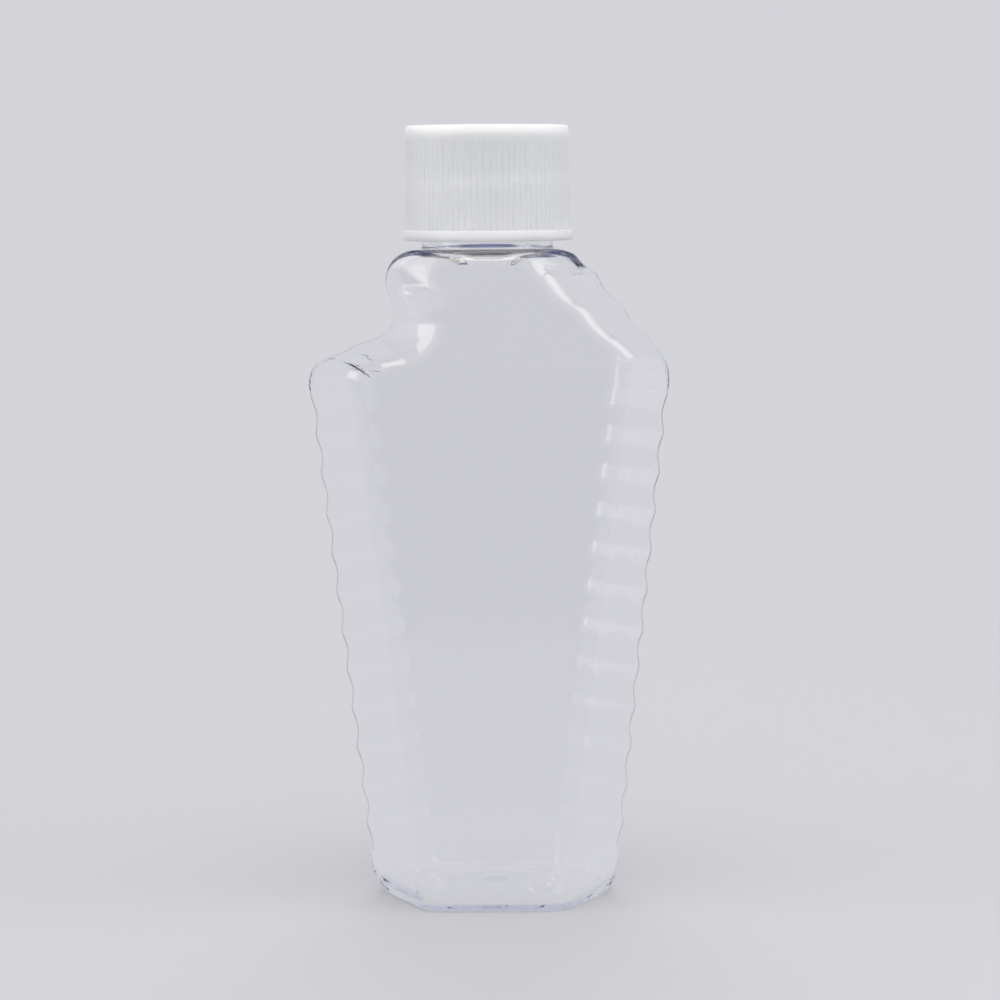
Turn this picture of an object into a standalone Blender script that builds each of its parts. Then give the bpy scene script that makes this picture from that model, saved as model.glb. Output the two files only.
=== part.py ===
"""Clear plastic bottle with a screw neck and a ribbed white cap.

The body is a flat flask: two flat panels, flanks that spread upwards and carry a row of scallops,
a slanted scalloped shoulder on the right and a deep notch on the left.

Metres, +Z up. The neck's axis is X = 0, Y = 0, the bottle stands on Z = 0 and its front faces -Y.
"""
import math

import bmesh
import bpy
from mathutils import Matrix, Vector

# Clearance between pieces that touch, and how far a cutter runs past what it cuts
CLEARANCE = 0.0003
OVERRUN = 0.002

# Body: overall sizes
BODY_HEIGHT = 0.1078
BODY_DEPTH = 0.031
BODY_WALL = 0.0008

# Body: corners of the outline where the two mould halves meet.
# A reach is the distance from the neck's axis, a drop is measured down from the top of the body.
FOOT_RIGHT_REACH = 0.0215
FOOT_LEFT_REACH = 0.0201
RIGHT_SHOULDER_REACH = 0.0301
RIGHT_SHOULDER_DROP = 0.0194
RIGHT_SHOULDER_RADIUS = 0.009
SLANT_TOP_REACH = 0.0146
SLANT_TOP_DROP = 0.0006
SLANT_TOP_RADIUS = 0.0025
LOBE_REACH = 0.0176
LOBE_DROP = 0.0018
LOBE_RADIUS = 0.0044
NOTCH_REACH = 0.0141
NOTCH_DROP = 0.0133
NOTCH_RADIUS = 0.0045
LEFT_SHOULDER_REACH = 0.0301
LEFT_SHOULDER_DROP = 0.0184
LEFT_SHOULDER_RADIUS = 0.006

# Body: corners of the flat front and rear panels, measured in the same way
PANEL_FOOT_RIGHT_REACH = 0.0119
PANEL_FOOT_LEFT_REACH = 0.0109
PANEL_RIGHT_REACH = 0.0231
PANEL_RIGHT_DROP = 0.0174
PANEL_RIGHT_RADIUS = 0.0018
PANEL_SLANT_REACH = 0.0056
PANEL_TOP_DROP = 0.0018
PANEL_SLANT_RADIUS = 0.004
PANEL_LOBE_REACH = 0.0092
PANEL_LOBE_RADIUS = 0.004
PANEL_NOTCH_REACH = 0.0074
PANEL_NOTCH_DROP = 0.0166
PANEL_NOTCH_RADIUS = 0.0065
PANEL_LEFT_REACH = 0.0222
PANEL_LEFT_DROP = 0.0189
PANEL_LEFT_RADIUS = 0.0018

# Body: roundness from the panel over to the outline, as the power of a superellipse.
# A power of 1 is a straight bevel, 2 is an ellipse, and a higher power is squarer.
flank_roundness = 1.12
slant_roundness = 1.3
top_roundness = 2.4
lobe_roundness = 1.6
ledge_roundness = 1.4

# Body: scallops, as a wave between two crests whose power sets how sharp the crests are
FLUTE_PITCH = 0.00657
FLUTE_DEPTH = 0.00055
panel_flute_share = 0.85
flute_power = 1.24
slant_crest_shares = (0.11, 0.465, 0.82, 1.08)
ledge_crest_shares = (0.39, 1.59)

# Body: rounded heel, standing face and push-up under the base
HEEL_HEIGHT = 0.0043
HEEL_FRONT_INSET = 0.0014
HEEL_SIDE_INSET = 0.0034
heel_spread_share = 0.5
BASE_WALL = 0.0012
PUSH_UP_HEIGHT = 0.0016
PUSH_UP_HALF_LENGTH = 0.0122
PUSH_UP_HALF_WIDTH = 0.0088
push_up_sunk_share = 0.5
GATE_DIAMETER = 0.003
GATE_HEIGHT = 0.0004

# Neck finish: a 24 mm neck with one and a half turns of thread
NECK_DIAMETER = 0.0215
NECK_WALL = 0.0016
NECK_HEIGHT = 0.0166
NECK_ROOT_FLARE = 0.0007
NECK_LIP = 0.0004
THROAT_FLARE = 0.0008
THREAD_PITCH = 0.003175
THREAD_HEIGHT = 0.0011
THREAD_DROP = 0.0019
THREAD_TURNS = 1.5
thread_root_share = 0.56
thread_crest_share = 0.25
thread_fade_share = 0.1

# Cap
CAP_REVEAL = 0.0011
CAP_ROOF = 0.0015
SKIRT_WALL = 0.00136
SKIRT_DRAFT = 0.00018
CAP_EDGE_RADIUS = 0.0007
FLANGE_HEIGHT = 0.0017
FLANGE_REACH = 0.00042
MOUTH_CHAMFER = 0.0004
RIB_COUNT = 84
RIB_DEPTH = 0.00032
RIB_TOP_DROP = 0.0023
RIB_RUNOUT = 0.0006
LINER_THICKNESS = 0.001

# Fineness of the faceted surfaces
FLUTE_STEPS = 4
ARC_STEP = math.radians(13)
OUTER_BANDS = 5
INNER_BANDS = 4
HEEL_STEPS = 4
PANEL_FOOT_STEPS = 4
ROUND_SEGMENTS = 72
THREAD_STEPS = 30
EDGE_STEPS = 2
DOME_SEGMENTS = 40
DOME_RINGS = 18

# Worked out from the sizes above
BASE_CENTRE = (FOOT_RIGHT_REACH - FOOT_LEFT_REACH) / 2
NECK_RADIUS = NECK_DIAMETER / 2
BORE_RADIUS = NECK_RADIUS - NECK_WALL
THREAD_RADIUS = NECK_RADIUS + THREAD_HEIGHT
LAND_HEIGHT = BODY_HEIGHT + NECK_HEIGHT
CAP_FOOT = BODY_HEIGHT + CAP_REVEAL
CAP_BORE_RADIUS = THREAD_RADIUS + CLEARANCE
CAP_UNDERSIDE = LAND_HEIGHT + CLEARANCE + LINER_THICKNESS + CLEARANCE - CAP_FOOT
CAP_HEIGHT = CAP_UNDERSIDE + CAP_ROOF


# Scene and collections

def clear_scene():
    for item in list(bpy.data.objects):
        bpy.data.objects.remove(item, do_unlink=True)


def new_collection(name):
    collection = bpy.data.collections.new(name)
    bpy.context.scene.collection.children.link(collection)
    return collection


def add_object(name, mesh, collection, parent=None):
    item = bpy.data.objects.new(name, mesh)
    item.parent = parent
    collection.objects.link(item)
    return item


def mark_as_cutter(item):
    item.hide_render = True
    item.display_type = "WIRE"


# Materials

def plastic(name, colour, roughness, transmission=0.0, ior=1.5):
    material = bpy.data.materials.new(name)
    material.use_nodes = True
    shader = material.node_tree.nodes["Principled BSDF"]
    shader.inputs["Base Color"].default_value = (*colour, 1.0)
    shader.inputs["Roughness"].default_value = roughness
    shader.inputs["Metallic"].default_value = 0.0
    shader.inputs["Transmission Weight"].default_value = transmission
    shader.inputs["IOR"].default_value = ior
    material.diffuse_color = (*colour, 1.0)
    return material


# Modelling helpers

def smooth(mesh, angle=math.radians(32)):
    mesh.shade_smooth()
    mesh.set_sharp_from_angle(angle=angle)


def mesh_from(bm, name):
    mesh = bpy.data.meshes.new(name)
    bm.to_mesh(mesh)
    bm.free()
    smooth(mesh)
    return mesh


def turned(name, profile, segments, collection, parent=None):
    """A solid of revolution: the profile starts on the axis and runs down its outer side."""
    mesh = bpy.data.meshes.new(name)
    points = [(radius, 0, height) for radius, height in profile]
    edges = [(i, i + 1) for i in range(len(points) - 1)]
    mesh.from_pydata(points, edges, [])
    item = add_object(name, mesh, collection, parent)
    screw = item.modifiers.new("turn", "SCREW")
    screw.steps = segments
    screw.render_steps = segments
    screw.use_merge_vertices = True
    screw.merge_threshold = 0.00001
    screw.use_smooth_shade = True
    return item


def combine(item, tool, operation):
    boolean = item.modifiers.new(tool.name, "BOOLEAN")
    boolean.object = tool
    boolean.operation = operation
    boolean.solver = "EXACT"


def helical_ridge(name, wall_radius, crest_radius, foot, collection, parent=None):
    """A thread ridge of trapezoid section on the wall. Its height fades to nothing at both ends.

    The ridge starts on the +X side at the height foot and climbs by the pitch in each turn.
    """
    outwards = math.copysign(1, crest_radius - wall_radius)
    steps = round(THREAD_STEPS * THREAD_TURNS)
    root_half = THREAD_PITCH * thread_root_share / 2
    crest_half = THREAD_PITCH * thread_crest_share / 2
    bm = bmesh.new()
    rings = []
    for step in range(steps + 1):
        along = step / steps
        angle = math.tau * THREAD_TURNS * along
        centre = foot + THREAD_PITCH * THREAD_TURNS * along
        swell = min(1, along / thread_fade_share, (1 - along) / thread_fade_share)
        swell = math.sin(swell * math.pi / 2)
        buried = wall_radius - outwards * CLEARANCE
        crest = buried + (crest_radius - buried) * max(swell, thread_fade_share)
        section = (
            (buried, centre - root_half),
            (crest, centre - crest_half),
            (crest, centre + crest_half),
            (buried, centre + root_half),
        )
        ring = [bm.verts.new((r * math.cos(angle), r * math.sin(angle), z)) for r, z in section]
        rings.append(ring)
    for ring, following in zip(rings, rings[1:]):
        for i in range(len(ring)):
            j = (i + 1) % len(ring)
            bm.faces.new((ring[i], ring[j], following[j], following[i]))
    bm.faces.new(rings[0])
    bm.faces.new(rings[-1])
    bmesh.ops.recalc_face_normals(bm, faces=bm.faces)
    return add_object(name, mesh_from(bm, name), collection, parent)


# Outline of the body: a path of straight runs joined by arcs, in the X and Z directions.
# It starts on the right at the top of the heel and ends there on the left.

def outline_corners():
    """Ends and corners of the widest outline, each with its radius."""
    return [
        (Vector((FOOT_RIGHT_REACH, HEEL_HEIGHT)), 0),
        (Vector((RIGHT_SHOULDER_REACH, BODY_HEIGHT - RIGHT_SHOULDER_DROP)), RIGHT_SHOULDER_RADIUS),
        (Vector((SLANT_TOP_REACH, BODY_HEIGHT - SLANT_TOP_DROP)), SLANT_TOP_RADIUS),
        (Vector((-LOBE_REACH, BODY_HEIGHT - LOBE_DROP)), LOBE_RADIUS),
        (Vector((-NOTCH_REACH, BODY_HEIGHT - NOTCH_DROP)), NOTCH_RADIUS),
        (Vector((-LEFT_SHOULDER_REACH, BODY_HEIGHT - LEFT_SHOULDER_DROP)), LEFT_SHOULDER_RADIUS),
        (Vector((-FOOT_LEFT_REACH, HEEL_HEIGHT)), 0),
    ]


def panel_corners():
    """Ends and corners of the flat panel, in the same order as those of the outline."""
    return [
        (Vector((PANEL_FOOT_RIGHT_REACH, HEEL_HEIGHT)), 0),
        (Vector((PANEL_RIGHT_REACH, BODY_HEIGHT - PANEL_RIGHT_DROP)), PANEL_RIGHT_RADIUS),
        (Vector((PANEL_SLANT_REACH, BODY_HEIGHT - PANEL_TOP_DROP)), PANEL_SLANT_RADIUS),
        (Vector((-PANEL_LOBE_REACH, BODY_HEIGHT - PANEL_TOP_DROP)), PANEL_LOBE_RADIUS),
        (Vector((-PANEL_NOTCH_REACH, BODY_HEIGHT - PANEL_NOTCH_DROP)), PANEL_NOTCH_RADIUS),
        (Vector((-PANEL_LEFT_REACH, BODY_HEIGHT - PANEL_LEFT_DROP)), PANEL_LEFT_RADIUS),
        (Vector((-PANEL_FOOT_LEFT_REACH, HEEL_HEIGHT)), 0),
    ]


# Roundness of each straight run of the path in turn
run_roundness = {
    "right flank": flank_roundness,
    "slant": slant_roundness,
    "top": top_roundness,
    "side of the lobe": lobe_roundness,
    "ledge": ledge_roundness,
    "left flank": flank_roundness,
}


def piece_of(run):
    """Number of a run among the pieces of a path, where an arc lies between each run and the next."""
    return list(run_roundness).index(run) * 2


def turn_at(corners, i):
    """Directions of arrival and departure at a corner, and the angle turned there."""
    arriving = (corners[i][0] - corners[i - 1][0]).normalized()
    leaving = (corners[i + 1][0] - corners[i][0]).normalized()
    return arriving, leaving, math.atan2(arriving.cross(leaving), arriving.dot(leaving))


def inset(corners, distance):
    """The same path moved inwards. Outer corners get tighter, inner ones wider, and the ends stay level."""
    first, last = corners[0][0], corners[-1][0]
    rising = (corners[1][0] - first).normalized()
    falling = (last - corners[-2][0]).normalized()
    moved = [(first - Vector((distance / rising.y, 0)), 0)]
    for i in range(1, len(corners) - 1):
        point, radius = corners[i]
        arriving, leaving, turn = turn_at(corners, i)
        inwards = Vector((-arriving.y, arriving.x)) + Vector((-leaving.y, leaving.x))
        shift = inwards * (distance / (1 + math.cos(turn)))
        moved.append((point + shift, radius - math.copysign(distance, turn)))
    moved.append((last - Vector((distance / falling.y, 0)), 0))
    return moved


def path_pieces(corners):
    """Runs and arcs in turn, each as its start, its end or centre, and the angle turned."""
    pieces = []
    start = corners[0][0]
    for i in range(1, len(corners) - 1):
        point, radius = corners[i]
        arriving, leaving, turn = turn_at(corners, i)
        tangent = radius * math.tan(abs(turn) / 2)
        bend = point - arriving * tangent
        centre = bend + Vector((-arriving.y, arriving.x)) * math.copysign(radius, turn)
        pieces += [(start, bend, 0), (bend, centre, turn)]
        start = point + leaving * tangent
    pieces.append((start, corners[-1][0], 0))
    return pieces


def piece_length(piece):
    start, other, turn = piece
    return (other - start).length * (abs(turn) if turn else 1)


def piece_starts(pieces):
    """Distance along the path to the start of each piece, and to its end."""
    starts = [0]
    for piece in pieces:
        starts.append(starts[-1] + piece_length(piece))
    return starts


def place(pieces, distance):
    """Point and outward direction at a distance along a path."""
    starts = piece_starts(pieces)
    index = max(i for i in range(len(pieces)) if i == 0 or starts[i] <= distance)
    start, other, turn = pieces[index]
    fraction = (distance - starts[index]) / piece_length(pieces[index])
    if turn:
        spoke = Matrix.Rotation(turn * fraction, 2) @ (start - other)
        return other + spoke, spoke.normalized() * math.copysign(1, turn)
    along = (other - start).normalized()
    return start.lerp(other, fraction), Vector((along.y, -along.x))


def level_distance(run, height):
    """Distance along a straight run to the point at a height."""
    start, end, _ = run
    return (end - start).length * (height - start.y) / (end.y - start.y)


def facing_starts(outline, panel):
    """Where the panel's path faces each start of the outline's pieces: on the flanks at equal height."""
    starts = piece_starts(panel)
    right, left = piece_of("right flank"), piece_of("left flank")
    starts[right + 1] = starts[right] + level_distance(panel[right], outline[right][1].y)
    starts[left] += level_distance(panel[left], outline[left][0].y)
    return starts


def flute_crests(pieces):
    """Crests between the scallops, as rows of distances along the outline."""
    starts = piece_starts(pieces)
    rows = []
    for flank in (piece_of("right flank"), piece_of("left flank")):
        length = piece_length(pieces[flank])
        count = int(length // FLUTE_PITCH)
        first = starts[flank] + (length - count * FLUTE_PITCH) / 2
        rows.append([first + i * FLUTE_PITCH for i in range(count + 1)])
    for name, shares in (("slant", slant_crest_shares), ("ledge", ledge_crest_shares)):
        run = piece_of(name)
        length = piece_length(pieces[run])
        rows.append([starts[run] + share * length for share in shares])
    return rows


def flute_depth(distance, rows):
    """How far a scallop draws the outline in at a distance along it."""
    for row in rows:
        for crest, following in zip(row, row[1:]):
            if crest < distance < following:
                wave = math.sin(math.pi * (distance - crest) / (following - crest))
                return FLUTE_DEPTH * wave ** flute_power
    return 0


def stations(pieces):
    """Distances at which the outline is sampled, with the piece that each is on."""
    starts = piece_starts(pieces)
    rows = flute_crests(pieces)
    least = FLUTE_PITCH / FLUTE_STEPS / 2
    found = []
    for index, piece in enumerate(pieces):
        start, end = starts[index], starts[index + 1]
        row = next((row for row in rows if row[0] < end and row[-1] > start), None)
        if piece[2]:
            steps = math.ceil(abs(piece[2]) / ARC_STEP)
            along = [start + (end - start) * i / steps for i in range(steps)]
        elif row:
            along = [row[-1]]
            for crest, following in zip(row, row[1:]):
                gap = (following - crest) / FLUTE_STEPS
                along += [crest + gap * i for i in range(FLUTE_STEPS)]
            along = [start] + sorted(d for d in along if start + least < d < end - least)
        else:
            steps = math.ceil((end - start) / FLUTE_PITCH)
            along = [start + (end - start) * i / steps for i in range(steps)]
        found += [(index, distance) for distance in along]
    found.append((len(pieces) - 1, starts[-1]))
    return found


def roundness_at(index, fraction):
    """Superellipse power at a station. It changes evenly round each corner."""
    powers = list(run_roundness.values())
    if index % 2 == 0:
        return powers[index // 2]
    arriving, leaving = powers[index // 2], powers[index // 2 + 1]
    return arriving + (leaving - arriving) * fraction


# Body form: a loft from the outline over to the flat panel, with a heel, and one half mirrored

def section_columns(wall, bands):
    """Columns of points from the outline over to the panel, from the right foot to the left foot."""
    outline = path_pieces(outline_corners())
    drawn_in = path_pieces(inset(outline_corners(), wall))
    panel = path_pieces(panel_corners())
    starts = piece_starts(outline)
    drawn_starts = piece_starts(drawn_in)
    facing = facing_starts(outline, panel)
    rows = flute_crests(outline)
    half_depth = BODY_DEPTH / 2 - wall
    columns = []
    for index, distance in stations(outline):
        depth = flute_depth(distance, rows)
        fraction = (distance - starts[index]) / (starts[index + 1] - starts[index])
        length = drawn_starts[index + 1] - drawn_starts[index]
        edge, outwards = place(drawn_in, drawn_starts[index] + fraction * length)
        edge = edge - outwards * depth
        length = facing[index + 1] - facing[index]
        border, outwards = place(panel, facing[index] + fraction * length)
        border = border - outwards * depth * panel_flute_share
        power = 2 / roundness_at(index, fraction)
        column = []
        for band in range(bands + 1):
            angle = math.pi / 2 * band / bands
            reach = math.cos(angle) ** power if band < bands else 0
            across = math.sin(angle) ** power if band else 0
            flat = border.lerp(edge, reach)
            column.append(Vector((flat.x, -half_depth * across, flat.y)))
        columns.append(column)
    return columns


def heel_rings(contour, wall, floor):
    """Rings of the rounded heel, from the contour at its top down to the floor.

    Each point keeps a share of its distance from the middle plane, so that the halves never cross.
    """
    mirrored = Vector((1, -1, 1))
    around = [contour[1] * mirrored] + contour + [contour[-2] * mirrored]
    rings = []
    for step in range(1, HEEL_STEPS + 1):
        angle = math.pi / 2 * step / HEEL_STEPS
        ring = []
        for before, point, after in zip(around, contour, around[2:]):
            along = (after - before).normalized()
            outwards = Vector((along.y, -along.x, 0))
            side_share = abs(outwards.x)
            reach = HEEL_FRONT_INSET + (HEEL_SIDE_INSET - HEEL_FRONT_INSET) * side_share - wall
            moved = point - outwards * max(reach, 0) * (1 - math.cos(angle))
            moved.y = min(moved.y, point.y * heel_spread_share)
            moved.z = HEEL_HEIGHT - (HEEL_HEIGHT - floor) * math.sin(angle)
            ring.append(moved)
        rings.append(ring)
    return rings


def body_form(name, wall, floor, bands, collection):
    """Closed form of the body, drawn in by a wall: nothing for the outside, the wall for the cavity."""
    columns = section_columns(wall, bands)
    bm = bmesh.new()
    grid = [[bm.verts.new(point) for point in column] for column in columns]
    for column, following in zip(grid, grid[1:]):
        for band in range(bands):
            bm.faces.new((column[band], following[band], following[band + 1], column[band + 1]))
    left, right = columns[-1][-1], columns[0][-1]
    steps = range(1, PANEL_FOOT_STEPS)
    panel_foot = [bm.verts.new(left.lerp(right, i / PANEL_FOOT_STEPS)) for i in steps]
    bm.faces.new([column[-1] for column in grid] + panel_foot)
    above = grid[-1] + panel_foot + grid[0][::-1]
    for ring in heel_rings([vert.co.copy() for vert in above], wall, floor):
        below = [bm.verts.new(point) for point in ring]
        for i in range(len(ring) - 1):
            bm.faces.new((above[i], above[i + 1], below[i + 1], below[i]))
        above = below
    bm.faces.new(above)
    bmesh.ops.recalc_face_normals(bm, faces=bm.faces)
    if min(bm.faces, key=lambda face: face.calc_center_median().y).normal.y > 0:
        bmesh.ops.reverse_faces(bm, faces=bm.faces)
    item = add_object(name, mesh_from(bm, name), collection)
    mirror = item.modifiers.new("rear half", "MIRROR")
    mirror.use_axis = (False, True, False)
    mirror.use_clip = True
    mirror.merge_threshold = 0.00001
    return item


def push_up_dome(name, wall, collection):
    """Shallow dome under the base: the hollow itself, or the hollow with a wall round it.

    It is the top of a flattened ball whose middle lies below the face that the bottle stands on.
    """
    half_height = PUSH_UP_HEIGHT / (1 - push_up_sunk_share)
    widening = 1 / math.sqrt(1 - push_up_sunk_share ** 2)
    bm = bmesh.new()
    bmesh.ops.create_uvsphere(bm, u_segments=DOME_SEGMENTS, v_segments=DOME_RINGS, radius=1)
    size = Vector((PUSH_UP_HALF_LENGTH * widening, PUSH_UP_HALF_WIDTH * widening, half_height))
    bmesh.ops.scale(bm, vec=size + Vector((wall, wall, wall)), verts=bm.verts)
    middle = Vector((BASE_CENTRE, 0, PUSH_UP_HEIGHT - half_height))
    bmesh.ops.translate(bm, vec=middle, verts=bm.verts)
    return add_object(name, mesh_from(bm, name), collection)


def neck_solid(collection):
    """Neck without its bore, from inside the shoulder up to the sealing land."""
    profile = [
        (0, LAND_HEIGHT),
        (NECK_RADIUS - NECK_LIP, LAND_HEIGHT),
        (NECK_RADIUS, LAND_HEIGHT - NECK_LIP),
        (NECK_RADIUS, BODY_HEIGHT + NECK_ROOT_FLARE),
        (NECK_RADIUS + NECK_ROOT_FLARE / 4, BODY_HEIGHT + NECK_ROOT_FLARE / 4),
        (NECK_RADIUS + NECK_ROOT_FLARE, BODY_HEIGHT - NECK_ROOT_FLARE / 2),
        (NECK_RADIUS + NECK_ROOT_FLARE, BODY_HEIGHT - OVERRUN),
        (0, BODY_HEIGHT - OVERRUN),
    ]
    return turned("neck_solid", profile, ROUND_SEGMENTS, collection)


def throat_solid(collection):
    """Space inside the neck, flared where it opens into the body."""
    shoulder = BODY_HEIGHT - BODY_WALL
    profile = [
        (0, LAND_HEIGHT + OVERRUN),
        (BORE_RADIUS, LAND_HEIGHT + OVERRUN),
        (BORE_RADIUS, shoulder + THROAT_FLARE * 2),
        (BORE_RADIUS + THROAT_FLARE / 4, shoulder + THROAT_FLARE),
        (BORE_RADIUS + THROAT_FLARE, shoulder),
        (BORE_RADIUS + THROAT_FLARE, shoulder - OVERRUN),
        (0, shoulder - OVERRUN),
    ]
    return turned("throat", profile, ROUND_SEGMENTS, collection)


def build_bottle(parts, cutters):
    """Clear bottle: outside form with neck and thread, less the cavity and the push-up."""
    bottle = body_form("bottle", 0, 0, OUTER_BANDS, parts)
    neck = neck_solid(cutters)
    foot = LAND_HEIGHT - THREAD_DROP - THREAD_PITCH * THREAD_TURNS
    thread = helical_ridge("neck_thread", NECK_RADIUS, THREAD_RADIUS, foot, cutters)
    push_up = push_up_dome("push_up", 0, cutters)
    gate = turned(
        "gate_mark",
        [
            (0, PUSH_UP_HEIGHT + BASE_WALL / 2),
            (GATE_DIAMETER / 2, PUSH_UP_HEIGHT + BASE_WALL / 2),
            (GATE_DIAMETER / 2, PUSH_UP_HEIGHT - GATE_HEIGHT),
            (0, PUSH_UP_HEIGHT - GATE_HEIGHT),
        ],
        THREAD_STEPS,
        cutters,
    )
    gate.location.x = BASE_CENTRE

    cavity = body_form("cavity", BODY_WALL, BASE_WALL, INNER_BANDS, cutters)
    throat = throat_solid(cutters)
    dome = push_up_dome("push_up_with_wall", BASE_WALL, cutters)
    combine(cavity, throat, "UNION")
    combine(cavity, dome, "DIFFERENCE")

    combine(bottle, neck, "UNION")
    combine(bottle, thread, "UNION")
    combine(bottle, push_up, "DIFFERENCE")
    combine(bottle, cavity, "DIFFERENCE")
    combine(bottle, gate, "UNION")
    bottle.data.materials.append(
        plastic("clear PET", (0.93, 0.95, 0.98), 0.03, transmission=1.0, ior=1.575)
    )
    return bottle


# Cap

def skirt_radius(height):
    """Outside radius of the skirt at a height over the cap's foot: it narrows to the top."""
    return CAP_BORE_RADIUS + SKIRT_WALL - SKIRT_DRAFT * height / CAP_HEIGHT


def cap_outside(collection, parent):
    """Outside of the cap, turned, with every second column drawn in between the ribs."""
    rib_top = CAP_HEIGHT - RIB_TOP_DROP
    rib_full = rib_top - RIB_RUNOUT
    flange = skirt_radius(0) + FLANGE_REACH
    profile = [(0, CAP_HEIGHT)]
    for step in range(EDGE_STEPS + 1):
        angle = math.pi / 2 * step / EDGE_STEPS
        radius = skirt_radius(CAP_HEIGHT) - CAP_EDGE_RADIUS * (1 - math.sin(angle))
        profile.append((radius, CAP_HEIGHT - CAP_EDGE_RADIUS * (1 - math.cos(angle))))
    profile += [
        (skirt_radius(rib_top), rib_top),
        (skirt_radius(rib_full), rib_full),
        (skirt_radius(FLANGE_HEIGHT), FLANGE_HEIGHT),
        (flange, FLANGE_HEIGHT),
        (flange, 0),
        (0, 0),
    ]
    turning = turned("cap_turning", profile, RIB_COUNT * 2, collection, parent)
    bpy.context.view_layer.update()
    evaluated = turning.evaluated_get(bpy.context.evaluated_depsgraph_get())
    mesh = bpy.data.meshes.new_from_object(evaluated)
    bpy.data.objects.remove(turning)
    column = math.pi / RIB_COUNT
    middle_radius = skirt_radius(FLANGE_HEIGHT) + FLANGE_REACH / 2
    for vertex in mesh.vertices:
        x, y, z = vertex.co
        radius = math.hypot(x, y)
        on_ribs = FLANGE_HEIGHT - CLEARANCE < z < rib_full + CLEARANCE and radius < middle_radius
        if on_ribs and round(math.atan2(y, x) / column) % 2:
            vertex.co.x = x * (1 - RIB_DEPTH / radius)
            vertex.co.y = y * (1 - RIB_DEPTH / radius)
    smooth(mesh)
    return mesh


def build_cap(parts, cutters, axis):
    """White cap: ribbed skirt with a flange at its foot, a hollow and the thread that grips the neck."""
    cap = add_object("screw_cap", cap_outside(cutters, axis), parts, axis)
    hollow = turned(
        "cap_hollow",
        [
            (0, CAP_UNDERSIDE),
            (CAP_BORE_RADIUS, CAP_UNDERSIDE),
            (CAP_BORE_RADIUS, MOUTH_CHAMFER),
            (CAP_BORE_RADIUS + MOUTH_CHAMFER, 0),
            (CAP_BORE_RADIUS + MOUTH_CHAMFER, -OVERRUN),
            (0, -OVERRUN),
        ],
        ROUND_SEGMENTS,
        cutters,
        axis,
    )
    neck_thread_foot = LAND_HEIGHT - THREAD_DROP - THREAD_PITCH * THREAD_TURNS
    foot = neck_thread_foot - THREAD_PITCH / 2 - CAP_FOOT
    crest_radius = NECK_RADIUS + CLEARANCE
    thread = helical_ridge("cap_thread", CAP_BORE_RADIUS, crest_radius, foot, cutters, axis)
    combine(cap, hollow, "DIFFERENCE")
    combine(cap, thread, "UNION")
    cap.data.materials.append(plastic("white PP", (0.86, 0.87, 0.88), 0.38))
    return cap


def build_liner(parts, axis):
    """Foam disc under the roof of the cap, just clear of the roof and of the sealing land."""
    radius = CAP_BORE_RADIUS - CLEARANCE
    top = CAP_UNDERSIDE - CLEARANCE
    profile = [(0, top), (radius, top), (radius, top - LINER_THICKNESS), (0, top - LINER_THICKNESS)]
    liner = turned("cap_liner", profile, ROUND_SEGMENTS, parts, axis)
    liner.data.materials.append(plastic("white PE foam", (0.9, 0.9, 0.88), 0.8))
    return liner


# Assembly

clear_scene()
bottle_parts = new_collection("plastic_screw_cap_bottle")
bottle_cutters = new_collection("cutters")

cap_axis = add_object("cap_axis", None, bottle_parts)
cap_axis.location.z = CAP_FOOT

build_bottle(bottle_parts, bottle_cutters)
build_cap(bottle_parts, bottle_cutters, cap_axis)
build_liner(bottle_parts, cap_axis)
for cutter in bottle_cutters.objects:
    mark_as_cutter(cutter)
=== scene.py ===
# %% [markdown]
# # A clear plastic bottle with a ribbed screw cap
#
# The construction of this bottle is fixed: one solid for the bottle, one for the cap and one for
# the liner in the cap's roof. This lesson gives them their looks. Clear plastic shows every facet
# in its highlights, so the bottle and the cap are modelled again with finer surfaces in the same
# place. The liner keeps its solid. Lengths are in metres, Z is up, and the front faces -Y.

# %% Load the frame
import math

import bpy
from mathutils import Matrix, Vector


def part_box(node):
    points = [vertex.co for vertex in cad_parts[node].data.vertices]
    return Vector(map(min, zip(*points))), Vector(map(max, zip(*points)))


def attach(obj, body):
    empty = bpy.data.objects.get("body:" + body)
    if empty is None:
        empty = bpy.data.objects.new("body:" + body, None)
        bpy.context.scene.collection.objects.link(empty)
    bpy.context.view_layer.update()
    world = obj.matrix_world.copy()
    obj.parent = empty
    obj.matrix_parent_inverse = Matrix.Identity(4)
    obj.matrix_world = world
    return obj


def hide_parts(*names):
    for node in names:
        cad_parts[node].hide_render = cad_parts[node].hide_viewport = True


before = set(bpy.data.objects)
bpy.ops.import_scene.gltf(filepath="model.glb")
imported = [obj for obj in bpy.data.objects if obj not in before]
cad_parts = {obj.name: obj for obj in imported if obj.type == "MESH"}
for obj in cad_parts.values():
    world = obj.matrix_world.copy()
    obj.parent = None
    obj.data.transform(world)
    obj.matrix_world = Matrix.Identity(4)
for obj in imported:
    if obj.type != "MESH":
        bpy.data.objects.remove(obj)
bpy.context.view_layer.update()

neck_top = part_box("bottle")[1].z
cap_foot, cap_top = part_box("screw_cap")[0].z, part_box("screw_cap")[1].z
half_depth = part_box("bottle")[1].y

# %% [markdown]
# An operator acts on everything that is selected, so each step starts with nothing selected.
# These helpers select one object, work on its mesh in edit mode, and apply a modifier when it is
# done.

# %% Helpers for working by hand
MM = 0.001


def pick(*items):
    """Selects these objects only. The last one is active."""
    bpy.ops.object.select_all(action="DESELECT")
    for item in items:
        item.select_set(True)
    bpy.context.view_layer.objects.active = items[-1]


def named(name):
    """Names the active object and its mesh."""
    item = bpy.context.object
    item.name = name
    item.data.name = name
    return item


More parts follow.
